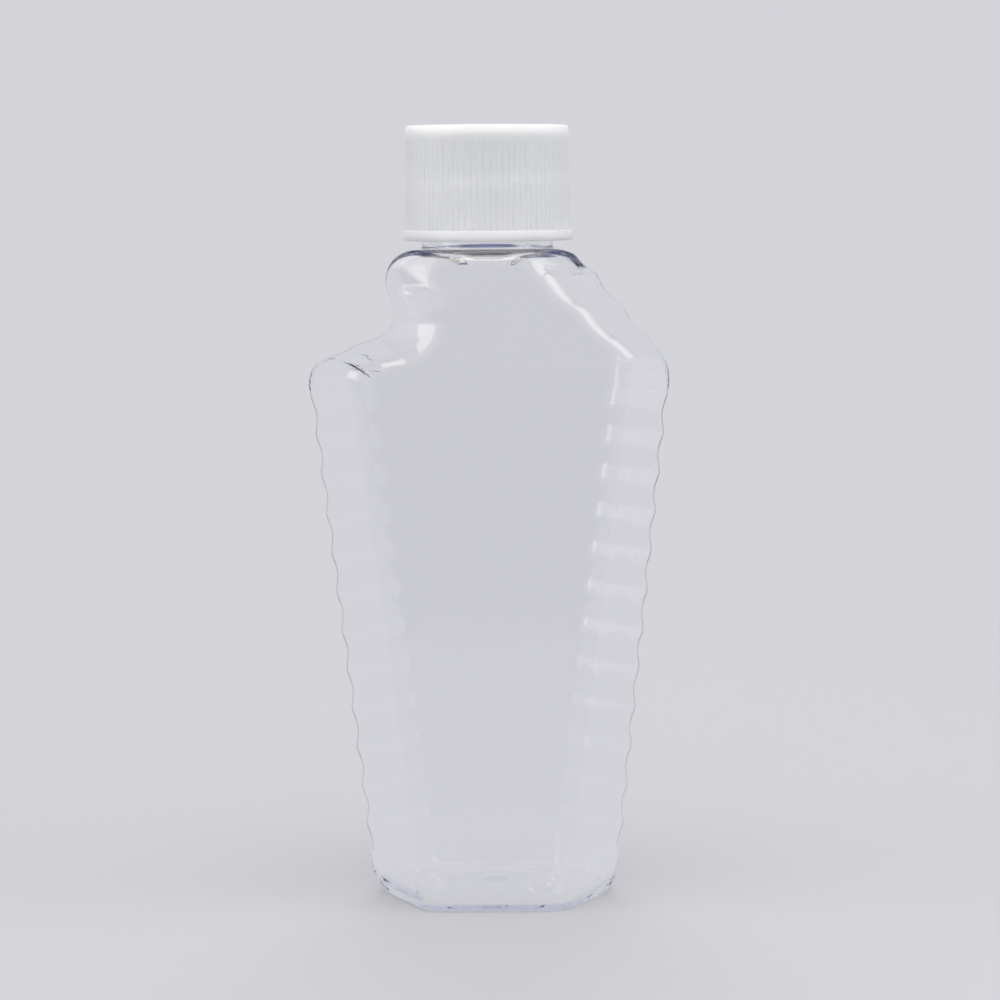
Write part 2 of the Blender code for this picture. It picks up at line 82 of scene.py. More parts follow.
def edit(item, kind="VERT", action="DESELECT"):
    """Opens edit mode on one object with nothing selected, or with everything."""
    pick(item)
    bpy.ops.object.mode_set(mode="EDIT")
    bpy.ops.mesh.select_mode(type=kind)
    bpy.ops.mesh.select_all(action=action)


def choose(item, kind, test):
    """Selects the faces, edges or vertices that pass a test, and stays in edit mode."""
    bpy.ops.object.mode_set(mode="OBJECT")
    for element in getattr(item.data, kind):
        element.select = test(element)
    bpy.ops.object.mode_set(mode="EDIT")


def leave():
    bpy.ops.object.mode_set(mode="OBJECT")


def weld(item, distance=0.000002):
    """Merges points that lie on each other and turns all faces outwards."""
    edit(item, action="SELECT")
    bpy.ops.mesh.remove_doubles(threshold=distance)
    bpy.ops.mesh.normals_make_consistent(inside=False)
    leave()


def apply(item, kind, **settings):
    """Adds a modifier, sets it and applies it."""
    pick(item)
    modifier = item.modifiers.new(kind.lower(), kind)
    for name, value in settings.items():
        setattr(modifier, name, value)
    bpy.ops.object.modifier_apply(modifier=modifier.name)


def join(target, *others):
    """Makes several objects one."""
    pick(*others, target)
    bpy.ops.object.join()
    return target


def smooth(item, angle=math.radians(35)):
    pick(item)
    bpy.ops.object.shade_smooth_by_angle(angle=angle)


def chain(name, points):
    """A plane merged to one vertex and extruded into a chain of edges through the points."""
    bpy.ops.object.select_all(action="DESELECT")
    bpy.ops.mesh.primitive_plane_add(size=1)
    item = named(name)
    edit(item, action="SELECT")
    bpy.ops.mesh.merge(type="CENTER")
    leave()
    edit(item, action="SELECT")
    for _ in points[1:]:
        bpy.ops.mesh.extrude_vertices_move()
    leave()
    for vertex, point in zip(item.data.vertices, points):
        vertex.co = point
    return item


# %% [markdown]
# ## The outline of the bottle
#
# Seen from the front, the bottle is a path of straight runs joined by arcs: the right flank, the
# slanted shoulder, the top under the cap, the notch with its lobe, the ledge and the left flank.
# It could be drawn as a curve object, but the section has to change along it, so the path is kept
# as corners with a radius, and a point can be asked for anywhere on it.

# %% Corners of the outline and of the flat panel, in millimetres from the neck's axis and the table
HEEL = 6.5
outline_corners = [
    ((21.73, HEEL), 0),
    ((30.1, 88.4), 9.0),
    ((14.2, 107.65), 8.5),
    ((-18.4, 107.6), 5.0),
    ((-14.1, 94.5), 4.5),
    ((-30.1, 89.4), 6.0),
    ((-20.36, HEEL), 0),
]
panel_corners = [
    ((12.19, HEEL), 0),
    ((23.1, 90.4), 1.8),
    ((5.9, 106.3), 6.0),
    ((-9.4, 106.1), 5.0),
    ((-7.4, 91.2), 6.5),
    ((-22.2, 88.9), 1.8),
    ((-11.19, HEEL), 0),
]
RIGHT_FLANK, SLANT, TOP, LOBE_SIDE, LEDGE, LEFT_FLANK = range(0, 12, 2)
wall = 0.8
base_wall = 1.2
smallest_radius = 0.8


# %% A path that can be asked for any point
def straight(start, end):
    along = (end - start).normalized()
    outwards = Vector((along.y, -along.x))
    return (end - start).length, lambda share: (start.lerp(end, share), outwards)


def bend(start, centre, turn):
    spoke = start - centre

    def at(share):
        turned = Matrix.Rotation(turn * share, 2) @ spoke
        return centre + turned, turned.normalized() * math.copysign(1, turn)

    return spoke.length * abs(turn), at


def turn_at(before, point, after):
    """Directions of arrival and departure at a corner, and the angle turned there."""
    arriving = (point - before).normalized()
    leaving = (after - point).normalized()
    return arriving, leaving, math.atan2(arriving.cross(leaving), arriving.dot(leaving))


def rounded_path(corners):
    """Runs and arcs in turn, each with its length and a function that gives its points."""
    points = [Vector(point) for point, _ in corners]
    pieces = []
    start = points[0]
    for i in range(1, len(points) - 1):
        radius = corners[i][1]
        arriving, leaving, turn = turn_at(*points[i - 1:i + 2])
        tangent = radius * math.tan(abs(turn) / 2)
        begin = points[i] - arriving * tangent
        centre = begin + Vector((-arriving.y, arriving.x)) * math.copysign(radius, turn)
        pieces += [straight(start, begin), bend(begin, centre, turn)]
        start = points[i] + leaving * tangent
    pieces.append(straight(start, points[-1]))
    return pieces


def drawn_in_corners(corners, distances):
    """The same path with each run moved inwards by its own distance. Its ends keep their height."""
    points = [Vector(point) for point, _ in corners]
    ways = [(after - before).normalized() for before, after in zip(points, points[1:])]
    moved = [(points[0] - Vector((distances[0] / ways[0].y, 0)), 0)]
    for i in range(1, len(points) - 1):
        arriving, leaving = ways[i - 1], ways[i]
        turn = arriving.cross(leaving)
        shift = (leaving * distances[i - 1] - arriving * distances[i]) / turn
        shrink = math.copysign(min(distances[i - 1:i + 1]), turn)
        moved.append((points[i] + shift, max(corners[i][1] - shrink, smallest_radius)))
    moved.append((points[-1] - Vector((distances[-1] / ways[-1].y, 0)), 0))
    return moved


def starts_of(pieces):
    """Distance along the path to the start of each piece, and to its end."""
    starts = [0]
    for length, _ in pieces:
        starts.append(starts[-1] + length)
    return starts


outline = rounded_path(outline_corners)
outline_starts = starts_of(outline)
print("the outline is", round(outline_starts[-1], 1), "mm long in", len(outline), "pieces")

# %% [markdown]
# ## Scallops
#
# A row of shallow scallops runs up each flank, down the slanted shoulder and along the ledge.
# Each is a hollow between two crests. A sine wave would make crest and hollow alike, but on the
# bottle the crests are narrow and the hollows wide, so the wave is a power of a sine with its tip
# rounded off. On a flank the crests stand at one pitch from just above the foot. On the slant and
# the ledge they stand where the photograph shows them, at shares of the run, and the last ones
# lie on the bend after it.

# %% Crests along the outline
flute_pitch = 6.57
flute_foot = 4.3
flank_lean = 1.006  # length along a flank for each unit of height
flute_depth = 0.55
flute_steps, least_steps = 14, 8
crest_power = 1.24
crest_rounding = 0.16
slant_crest_shares = (0.125, 0.525, 0.925, 1.22)
ledge_crest_shares = (0.39, 1.59)


def crest_rows():
    rows = []
    below = (HEEL - flute_foot) * flank_lean
    for flank, lead in ((RIGHT_FLANK, below), (LEFT_FLANK, 0)):
        length = outline[flank][0] + below
        count = int(length // flute_pitch)
        first = outline_starts[flank] - lead + (length - count * flute_pitch) / 2
        rows.append([first + i * flute_pitch for i in range(count + 1)])
    for run, shares in ((SLANT, slant_crest_shares), (LEDGE, ledge_crest_shares)):
        rows.append([outline_starts[run] + share * outline[run][0] for share in shares])
    return rows


def wave(phase):
    """From 0 on a crest to 1 in the middle of a scallop."""
    sine = math.sin(math.pi * phase) ** 2
    tip = crest_rounding ** 2
    low, high = tip ** (crest_power / 2), (1 + tip) ** (crest_power / 2)
    return ((sine + tip) ** (crest_power / 2) - low) / (high - low)


def scallop(distance, rows):
    """How far a scallop draws the outline in at a distance along it."""
    for row in rows:
        for crest, following in zip(row, row[1:]):
            if crest < distance < following:
                return flute_depth * wave((distance - crest) / (following - crest))
    return 0


rows = crest_rows()
print("there are", sum(len(row) - 1 for row in rows), "scallops")


# %% Stations along the outline, each on its piece and at its share of it
def stations():
    step = flute_pitch / flute_steps
    found = []
    for number, (length, _) in enumerate(outline):
        start, end = outline_starts[number], outline_starts[number + 1]
        row = next((row for row in rows if row[0] < end and row[-1] > start), None)
        if number % 2 or not row:
            count = max(least_steps, math.ceil(length / step))
            along = [start + length * i / count for i in range(count)]
        else:
            along = [row[0] - step * i for i in range(1, flute_steps)] + [row[-1]]
            along += [row[-1] + step * i for i in range(1, flute_steps)]
            for crest, following in zip(row, row[1:]):
                gap = (following - crest) / flute_steps
                along += [crest + gap * i for i in range(flute_steps)]
            along = [start] + sorted(d for d in along if start + step / 2 < d < end - step / 2)
        found += [(number, (d - start) / length, scallop(d, rows)) for d in along]
    found.append((len(outline) - 1, 1, 0))
    return found


station_list = stations()
print("the outline has", len(station_list), "stations")

# %% [markdown]
# ## The skin between outline and panel
#
# Front and rear are flat panels. From each panel the skin turns over a soft edge, falls away as a
# slanted face and turns again at the outline, where it meets its mirror image. So each section is
# again a path of straight runs and arcs, and the same functions draw it. It only changes from
# place to place: on the flanks the slanted face reaches the middle plane, over the top it is a
# narrow chamfer. The skin starts as a grid primitive and each of its points is moved to its
# place, row by row, which is how a loft is made where bridging two loops would give every section
# the same shape. Under the neck the inside turns over a wider corner than the outside. The wall
# is then a weak lens that lets the pale paper through, where an even wall would show the dark
# inside of the cap.

# %% Sections: length of the upright part at the outline, and softness of outline and border, in mm
sections = {
    RIGHT_FLANK: (0.8, 0.7, 2.8),
    SLANT: (6.0, 1.6, 2.6),
    TOP: (12.8, 1.4, 2.6),
    LOBE_SIDE: (9.0, 2.0, 2.6),
    LEDGE: (6.5, 1.8, 2.6),
    LEFT_FLANK: (0.8, 0.7, 2.8),
}
panel_flute_shares = {RIGHT_FLANK: 0.5, SLANT: 0.85, LEDGE: 0.85, LEFT_FLANK: 0.5}
inner_top_share = 1.4
edge_soft_limit, border_soft_limit = 0.35, 0.6  # shares of the slanted face that a soft turn takes
rising_limit = 0.9  # share of the upright part that a soft turn takes
least_run = 0.2
arc_steps, face_steps = 8, 3


def grid_skin(name, table):
    """A grid primitive moved to a table of points, one row of points for each line of the grid."""
    across, along = len(table[0]) - 1, len(table) - 1
    bpy.ops.object.select_all(action="DESELECT")
    bpy.ops.mesh.primitive_grid_add(x_subdivisions=across, y_subdivisions=along, size=1)
    item = named(name)
    for vertex in item.data.vertices:
        i = round((vertex.co.x + 0.5) * across)
        j = round((vertex.co.y + 0.5) * along)
        vertex.co = table[j][i]
    return item


def section_at(number, share):
    """Measures of the section on a piece of the outline. They change evenly round each bend."""
    if number % 2 == 0:
        return Vector(sections[number])
    return Vector(sections[number - 1]).lerp(Vector(sections[number + 1]), share)


def soft_corner(start, corner, end, steps):
    """Points of a soft turn from start to end round a corner, without the last."""
    points = []
    for step in range(steps):
        share = step / steps
        points.append(start.lerp(corner, share).lerp(corner.lerp(end, share), share))
    return points


def section_points(edge, border, flat, upright, softness):
    """Points from the outline at the middle plane round to the flat of the panel."""
    level = Vector((edge.x, 0, edge.z))
    slant = border - edge
    edge_soft = min(softness, slant.length * edge_soft_limit)
    border_soft = min((flat - border).length, slant.length * border_soft_limit)
    rising = edge.lerp(level, min(edge_soft, upright * rising_limit) / upright)
    leaving = edge + slant.normalized() * edge_soft
    arriving = border - slant.normalized() * border_soft
    points = [level] + soft_corner(rising, edge, leaving, arc_steps)
    points += [leaving.lerp(arriving, step / face_steps) for step in range(face_steps)]
    return points + soft_corner(arriving, border, flat, arc_steps) + [flat]


def facing_starts(path):
    """Where a path faces the starts of the outline's pieces: on the flanks at equal height."""
    starts = starts_of(path)
    for flank, end in ((RIGHT_FLANK, 1), (LEFT_FLANK, 0)):
        height = outline[flank][1](end)[0].y
        low, high = path[flank][1](0)[0].y, path[flank][1](1)[0].y
        starts[flank + end] = starts[flank] + path[flank][0] * (height - low) / (high - low)
    return starts


def point_on(pieces, distance):
    """Point and outward direction at a distance along a path."""
    starts = starts_of(pieces)
    number = max(i for i in range(len(pieces)) if i == 0 or starts[i] <= distance)
    length, at = pieces[number]
    return at((distance - starts[number]) / length)


def facing_point(path, facing, station):
    """Point of a path that faces a station, drawn in by its scallop, and its outward direction."""
    number, share, hollow = station
    distance = facing[number] + (facing[number + 1] - facing[number]) * share
    point, outwards = point_on(path, distance)
    return point - outwards * hollow * panel_flute_shares.get(number, 0), outwards


def skin_table(drawn_in):
    """Rows of points from the outline over to the panel, drawn in by the wall or by nothing."""
    panel = rounded_path(panel_corners)
    softness = [sections[run][2] for run in sections]
    if drawn_in:
        softness[TOP // 2] *= inner_top_share
    flat = rounded_path(drawn_in_corners(panel_corners, softness))
    panel_facing, flat_facing = facing_starts(panel), facing_starts(flat)
    depth = half_depth / MM
    table = []
    for station in station_list:
        number, share, hollow = station
        upright, edge_soft, _ = section_at(number, share)
        edge, outwards = outline[number][1](share)
        edge = edge - outwards * hollow
        border, border_outwards = facing_point(panel, panel_facing, station)
        inner, _ = facing_point(flat, flat_facing, station)
        run = max((edge - border).dot(border_outwards), least_run)
        turn = math.atan2(depth - upright, run)
        edge = edge - outwards * drawn_in
        border = border - border_outwards * drawn_in * math.tan(turn / 2)
        upright -= drawn_in * math.tan(math.pi / 4 - turn / 2)
        front = drawn_in - depth
        row = section_points(
            Vector((edge.x, -upright, edge.y)),
            Vector((border.x, front, border.y)),
            Vector((inner.x, front, inner.y)),
            upright,
            edge_soft,
        )
        table.append([point * MM for point in row])
    return table


# %% [markdown]
# ## Heel and base
#
# Under the flanks the skin turns in over a rounded heel and ends on a flat ring with six soft
# corners, inside which the base is pushed up in a shallow dome with the mark of the moulding gate
# in its middle. Seen from below, the rings go from the soft hexagon over an oval to a circle, so
# they are a second grid: each of its rows is one ring, and all rings have a point for each point
# of the flank's rim. Low in the front wall is a small round mark, a thin ring that stands proud
# of the wall's inside. It is raised once the skin has its mirror image, because the rear wall has
# no such mark.

# %% The ring that stands on the table
foot_right = (18.2, 12.6)
foot_left = (-15.8, -9.9)
foot_front = 14.1
foot_upright, foot_softness, foot_corner = 3.2, 2.6, 2.6
foot_border_share = 0.6  # part of the wall by which the inner ring's border moves in
foot_steps = 64


def foot_row(edge_x, border_x, drawn_in):
    """Half of the ring on one side, from the middle plane round to the straight front edge."""
    inwards = -math.copysign(1, edge_x)
    edge = Vector((edge_x + inwards * drawn_in, -foot_upright, 0))
    border_x += inwards * drawn_in * foot_border_share
    border = Vector((border_x, drawn_in - foot_front, 0))
    flat = border + Vector((inwards * foot_corner, 0, 0))
    return section_points(edge, border, flat, foot_upright, foot_softness)


def whole_rim(left, right):
    """Both rows and the straight edge between them as one list from left to right."""
    straight_part = [left[-1].lerp(right[-1], i / foot_steps) for i in range(1, foot_steps)]
    return left + straight_part + right[::-1]


# %% Rings of the heel and of the push-up
heel_steps = 18
foot_centre = Vector((0.7, 0))
dome_length, dome_width, dome_height = 12.2, 8.8, 1.6
dome_fullness = 1.1
dome_steps = 14
ring_steps = 5
gate_radius, gate_height, gate_slope = 1.5, 0.4, 0.5
mark_place, mark_size = (8.7, 4.6), (2.9, 1.9)
mark_ring, mark_width, mark_height = 0.7, 0.3, 0.25


def heel_ring(rim, standing, floor, share):
    """A ring at a share of the heel's quarter turn from the rim down to the floor."""
    angle = math.pi / 2 * share
    height = HEEL - (HEEL - floor) * math.sin(angle)
    ring = []
    for upper, lower in zip(rim, standing):
        point = upper.lerp(lower, 1 - math.cos(angle))
        ring.append(Vector((point.x, point.y, height)))
    return ring


def dome_point(direction, share, floor, gate):
    """A point of the push-up at a share of its radius, in a direction seen from above."""
    narrow = dome_width / dome_length
    roundness = narrow + (1 - narrow) * (1 - share) ** 2
    plan = Vector((direction.x, direction.y * roundness)) * dome_length * share
    rise = dome_height * (1 - share ** 2) ** dome_fullness
    drop = gate * min(max((gate_radius + gate_slope / 2 - plan.length) / gate_slope, 0), 1)
    return Vector((foot_centre.x + plan.x, plan.y, floor + rise - drop))


def foot_table(rim, drawn_in, floor, gate):
    """Rings from the top of the heel down to the floor and in to the middle of the push-up."""
    standing = whole_rim(foot_row(*foot_left, drawn_in), foot_row(*foot_right, drawn_in))
    table = [rim]
    for step in range(1, heel_steps + 1):
        table.append(heel_ring(rim, standing, floor, step / heel_steps))
    standing = table[-1]
    directions = []
    for point in standing:
        away = Vector((point.x, point.y)) - foot_centre
        angle = math.atan2(away.y / dome_width, away.x / dome_length)
        directions.append(Vector((math.cos(angle), math.sin(angle))))
    oval = [dome_point(direction, 1, floor, 0) for direction in directions]
    for step in range(1, ring_steps):
        table.append([point.lerp(inner, step / ring_steps) for point, inner in zip(standing, oval)])
    for step in range(dome_steps + 1):
        share = 1 - step / dome_steps
        table.append([dome_point(direction, share, floor, gate) for direction in directions])
    return table


# %% One skin of the body: outside, or inside by the wall
on_level = 0.0002  # millimetres within which a point counts as on the panel
merge_distance = 0.000005  # metres, as the modifiers take it


def body_skin(name, drawn_in, floor, gate):
    rows_of_points = skin_table(drawn_in)
    flank = grid_skin(name, rows_of_points)
    rim = whole_rim(rows_of_points[-1], rows_of_points[0])
    rings = foot_table([point / MM for point in rim], drawn_in, floor, gate)
    foot = grid_skin("foot", [[point * MM for point in ring] for ring in rings])
    body = join(flank, foot)
    weld(body)
    edit(body, "EDGE")
    depth = half_depth / MM - drawn_in
    points = body.data.vertices

    def on_border(edge):
        ends = [points[i].co / MM for i in edge.vertices]
        return all(abs(end.y + depth) < on_level and end.z > HEEL - on_level for end in ends)

    choose(body, "edges", on_border)
    bpy.ops.mesh.edge_face_add()
    leave()
    apply(body, "MIRROR", use_axis=(False, True, False), merge_threshold=merge_distance)
    weld(body)
    return body


outside = body_skin("bottle_shell", 0, 0, gate_height)
print("the outside has", len(outside.data.polygons), "faces")


# %% The mark in the front wall
def raise_mark(skin):
    """Raises the ring of the small round mark on the inside of the front wall."""
    for vertex in skin.data.vertices:
        x, y, z = vertex.co / MM
        across, up = (x - mark_place[0]) / mark_size[0], (z - mark_place[1]) / mark_size[1]
        off_ring = (math.hypot(across, up) - mark_ring) / mark_width
        if y < 0 and abs(off_ring) < 1:
            vertex.co.y += mark_height * (1 - off_ring ** 2) ** 2 * MM


print("the mark is a ring", round(mark_size[0] * mark_ring * 2, 1), "mm wide")

# %% [markdown]
# ## Neck, thread and throat
#
# A neck is turned: its profile is drawn as a chain of edges and spun round the axis. It is joined
# to the shoulder with a Boolean, as bridging would need a round hole in the scalloped skin first.
# The thread is a ridge with sloping sides that climbs round the neck and fades out at both ends.

# %% Turned shapes
neck_radius, neck_wall = 10.75, 1.6
body_top = 107.8
neck_flare, throat_flare = 0.12, 0.12
# Points of an edge or a flare, inwards or outwards and down or up
land_edge = ((0.45, 0), (0.15, 0.12), (0, 0.4))
neck_flare_shares = ((0, 1), (0.1, 0.55), (0.35, 0.15), (1, -0.4))
throat_flare_shares = ((0, 2), (0.12, 1.2), (0.45, 0.4), (1, 0))
buried_length = 2
turned_steps = 144


def flare(radius, height, size, shares):
    """Points of a small flare at the root of a neck or a throat."""
    return [(radius + size * out, height + size * up) for out, up in shares]


def turned(name, profile, steps=turned_steps):
    """Spins a profile of radius and height, in millimetres, round the Z axis and closes it."""
    item = chain(name, [Vector((radius, 0, height)) * MM for radius, height in profile])
    edit(item, action="SELECT")
    bpy.ops.mesh.spin(steps=steps, angle=math.tau, center=(0, 0, 0), axis=(0, 0, 1))
    leave()
    weld(item, merge_distance)
    return item


land = neck_top / MM
neck_profile = [(0, land)] + [(neck_radius - inwards, land - down) for inwards, down in land_edge]
neck_profile += flare(neck_radius, body_top, neck_flare, neck_flare_shares)
neck_end = body_top - buried_length
neck_profile += [(neck_radius + neck_flare, neck_end), (0, neck_end)]
neck = turned("neck", neck_profile)
print("the neck has", len(neck.data.polygons), "faces")

# %% The thread as a grid wound round the neck
thread_pitch, thread_turns = 3.175, 1.5
thread_height = 1.1
thread_drop = 1.9
thread_root, thread_crest = 0.28, 0.125  # half widths, in pitches
thread_buried = 0.3
thread_fade, least_swell = 0.1, 0.1  # share of the thread's length at each end, and least height
thread_steps = 180


def thread_ridge(name, wall_radius, crest_radius, foot):
    """A ridge with sloping sides on the wall, whose height fades at both ends."""
    outwards = math.copysign(1, crest_radius - wall_radius)
    buried = wall_radius - outwards * thread_buried
    upper = ((buried, thread_root), (crest_radius, thread_crest))
    section = upper + ((crest_radius, -thread_crest), (buried, -thread_root))
    table = []
    for step in range(thread_steps + 1):
        share = step / thread_steps
        angle = math.tau * thread_turns * share
        height = foot + thread_pitch * thread_turns * share
        swell = math.sin(min(1, share / thread_fade, (1 - share) / thread_fade) * math.pi / 2)
        row = []
        for radius, offset in section:
            radius = buried + (radius - buried) * max(swell, least_swell)
            around = Vector((math.cos(angle), math.sin(angle), 0)) * radius
            row.append((around + Vector((0, 0, height + offset * thread_pitch))) * MM)
        table.append(row + row[:1])
    ridge = grid_skin(name, table)
    weld(ridge)
    edit(ridge, "EDGE")
    bpy.ops.mesh.select_non_manifold()
    bpy.ops.mesh.fill_holes(sides=0)
    bpy.ops.mesh.select_all(action="SELECT")
    bpy.ops.mesh.normals_make_consistent(inside=False)
    leave()
    return ridge


def unite(item, tool):
    """Boolean union of two closed meshes. The tool is used up."""
    apply(item, "BOOLEAN", object=tool, operation="UNION", solver="EXACT")
    bpy.data.objects.remove(tool)


thread_foot = land - thread_drop - thread_pitch * thread_turns
neck_thread = thread_ridge("neck_thread", neck_radius, neck_radius + thread_height, thread_foot)
unite(neck, neck_thread)
unite(outside, neck)
print("the outside has", len(outside.data.polygons), "faces with its neck")

# %% [markdown]
# ## The inside
#
# The wall is 0.8 mm thick. A Solidify modifier would thin the wall in the notch and cross itself
# at the thread, so the inside is its own skin, drawn in from the outline, with the throat joined
# to it. The outside and the inside meet at the sealing land, where their open rims are bridged.

# %% Inside skin and throat
inside = body_skin("inside", wall, base_wall, 0)
raise_mark(inside)
shoulder = body_top - wall
bore = neck_radius - neck_wall
throat_profile = [(0, land), (bore, land)]
throat_profile += flare(bore, shoulder, throat_flare, throat_flare_shares)
throat_end = shoulder - buried_length
throat_profile += [(bore + throat_flare, throat_end), (0, throat_end)]
throat = turned("throat", throat_profile)
unite(inside, throat)


def open_top(item):
    """Deletes the faces of the land's level, and leaves an open rim."""
    edit(item, "FACE")
    choose(item, "polygons", lambda face: face.center.z > neck_top - merge_distance * 2)
    bpy.ops.mesh.delete(type="FACE")
    leave()


open_top(outside)
open_top(inside)
edit(inside, "FACE", "SELECT")
bpy.ops.mesh.flip_normals()
leave()
bottle = join(outside, inside)
edit(bottle, "EDGE")
bpy.ops.mesh.select_non_manifold()
bpy.ops.mesh.bridge_edge_loops()
leave()
smooth(bottle)
print("the bottle has", len(bottle.data.polygons), "faces")

# %% [markdown]
# ## The cap
#
# The cap is one moulding: a flat roof with a rounded edge, a slightly tapered skirt with fine
# ribs to grip and a plain flange at its foot. It is turned in one go, outside and inside, and
# then the columns of points between the ribs are drawn in, which is quicker and cleaner than
# cutting 84 grooves.

# %% The turned cap
rib_count = 84
columns_per_rib = 6
rib_depth = 0.15
rib_top_drop, rib_runout, runout_steps = 1.7, 2.2, 6
groove_fullness = 0.8
skirt_foot_radius, skirt_taper = 13.51, 0.18
flange_radius, flange_height = 13.93, 1.7
flange_fillet = ((0, 0.1), (0.05, 0))  # outwards and up from where skirt and flange meet
roof, roof_ring = 1.5, 6
roof_edge, flange_edge, foot_edge, bore_edge = 0.4, 0.15, 0.12, 0.4
thread_play = 0.3
cap_bore = neck_radius + thread_height + thread_play
foot, top = cap_foot / MM, cap_top / MM


def skirt_radius(height):
    return skirt_foot_radius - skirt_taper * (height - foot) / (top - foot)


def rounded_edge(radius, height, size, steps=6):
    """Points of a convex quarter round from a flat top down to a side."""
    points = []
    for step in range(steps + 1):
        angle = math.pi / 2 * step / steps
        inwards, down = size * (1 - math.sin(angle)), size * (1 - math.cos(angle))
        points.append((radius - inwards, height - down))
    return points


rib_top, flange_top = top - rib_top_drop, foot + flange_height
skirt_heights = [rib_top + roof_edge]
skirt_heights += [rib_top - rib_runout * step / runout_steps for step in range(runout_steps + 1)]
profile = [(0, top), (roof_ring, top)] + rounded_edge(skirt_radius(top), top, roof_edge)
profile += [(skirt_radius(height), height) for height in skirt_heights]
profile += [(skirt_radius(flange_top + up) + out, flange_top + up) for out, up in flange_fillet]
profile += rounded_edge(flange_radius, flange_top, flange_edge, steps=3)
profile += [(flange_radius, foot + foot_edge), (flange_radius - foot_edge, foot)]
profile += [(cap_bore + bore_edge, foot), (cap_bore, foot + bore_edge)]
profile += [(cap_bore, top - roof), (0, top - roof)]
cap = turned("ribbed_cap", profile, rib_count * columns_per_rib)
print("the cap has", len(cap.data.polygons), "faces before its thread")

# %% Ribs: the skirt is drawn in between them
# The ribbed part lies between these heights and outside this radius
skirt_low, skirt_high, skirt_inside = flange_top + 0.05, rib_top + 0.01, cap_bore + 0.5
for vertex in cap.data.vertices:
    x, y, z = vertex.co / MM
    radius = math.hypot(x, y)
    if skirt_low < z < skirt_high and radius > skirt_inside:
        column = math.atan2(y, x) / math.tau * rib_count
        groove = (0.5 - 0.5 * math.cos(math.tau * column)) ** groove_fullness
        fade = math.sin(min((rib_top - z) / rib_runout, 1) * math.pi / 2)
        drawn = 1 - rib_depth * groove * fade / radius
        vertex.co.x = x * drawn * MM
        vertex.co.y = y * drawn * MM
cap_thread_foot = thread_foot - thread_pitch / 2
cap_thread = thread_ridge("cap_thread", cap_bore, neck_radius + thread_play, cap_thread_foot)
unite(cap, cap_thread)
smooth(cap)
print("the cap has", len(cap.data.polygons), "faces")

# %% [markdown]
# ## Materials
#
# The bottle is PET: clear, glossy and very slightly blue, which shows only where one looks along
# the wall. That tint belongs inside the plastic, so it is absorption in the volume and not a
# colour on the surface. Blown walls are never quite flat, so two noises, one broad and one fine,
# tilt the surface by a hair. The cap is white polypropylene, satin, and a little light enters it.


# %% Nodes that the materials share
noise_middle = (0.3, 0.7)  # most values of a noise lie between these


def new_material(name):
    material = bpy.data.materials.new(name)
    material.use_nodes = True
    return material, material.node_tree.nodes, material.node_tree.links


def set_inputs(node, values):
    """Sets sockets of a node by their names."""
    for name, value in values.items():
        node.inputs[name].default_value = value


def object_noise(nodes, links, scale, detail):
    """Noise in the object's own space, in lumps of about one over the scale."""
    place = nodes.new("ShaderNodeTexCoord")
    noise = nodes.new("ShaderNodeTexNoise")
    set_inputs(noise, {"Scale": scale, "Detail": detail})
    links.new(place.outputs["Object"], noise.inputs["Vector"])
    return noise.outputs["Fac"]


def bump(nodes, links, height, distance, under=None):
    """A bump node on a height, on top of another bump if one is given."""
    node = nodes.new("ShaderNodeBump")
    set_inputs(node, {"Distance": distance, "Strength": 1.0})
    links.new(height, node.inputs["Height"])
    if under:
        links.new(under, node.inputs["Normal"])
    return node.outputs["Normal"]


def map_range(nodes, links, value, start, end, low, high, kind="LINEAR"):
    """A change from low to high while a value goes from start to end."""
    node = nodes.new("ShaderNodeMapRange")
    node.interpolation_type = kind
    set_inputs(node, {"From Min": start, "From Max": end, "To Min": low, "To Max": high})
    links.new(value, node.inputs["Value"])
    return node.outputs["Result"]


def mix_colours(nodes, links, factor, first, second):
    """The first colour where a factor is 0 and the second where it is 1."""
    node = nodes.new("ShaderNodeMix")
    node.data_type = "RGBA"
    set_inputs(node, {"A": first, "B": second})
    links.new(factor, node.inputs["Factor"])
    return node.outputs["Result"]


def light_enters(shader, radius, scale):
    """Lets light enter a plastic and spread under its surface."""
    settings = {"Weight": 1.0, "Radius": radius, "Scale": scale}
    set_inputs(shader, {f"Subsurface {name}": value for name, value in settings.items()})


# %% Clear PET
pet_ior, pet_roughness = 1.57, (0.008, 0.03)
pet_tint, pet_density = (0.6, 0.64, 0.8, 1), 30
broad_waves, fine_waves = 0.00004, 0.000002  # heights in metres


def clear_pet():
    material, nodes, links = new_material("clear_pet_blown")
    shader = nodes["Principled BSDF"]
    set_inputs(shader, {"Base Color": (1, 1, 1, 1), "Transmission Weight": 1.0, "IOR": pet_ior})
    haze = object_noise(nodes, links, scale=60, detail=2)
    roughness = map_range(nodes, links, haze, *noise_middle, *pet_roughness)
    links.new(roughness, shader.inputs["Roughness"])
    broad = object_noise(nodes, links, scale=90, detail=1)
    fine = object_noise(nodes, links, scale=900, detail=2)
    waves = bump(nodes, links, broad, broad_waves)
    links.new(bump(nodes, links, fine, fine_waves, under=waves), shader.inputs["Normal"])
    absorption = nodes.new("ShaderNodeVolumeAbsorption")
    set_inputs(absorption, {"Color": pet_tint, "Density": pet_density})
    links.new(absorption.outputs["Volume"], nodes["Material Output"].inputs["Volume"])
    return material


# %% White polypropylene and foam
pp_tones = (0.95, 0.935, 0.915, 1), (0.97, 0.955, 0.935, 1)
pp_roughness, pp_grain = (0.32, 0.42), 0.000015
foam_tones = (0.93, 0.93, 0.91, 1), (0.84, 0.84, 0.81, 1)
foam_roughness, foam_scale, foam_cells = 0.8, 2600, 0.00005


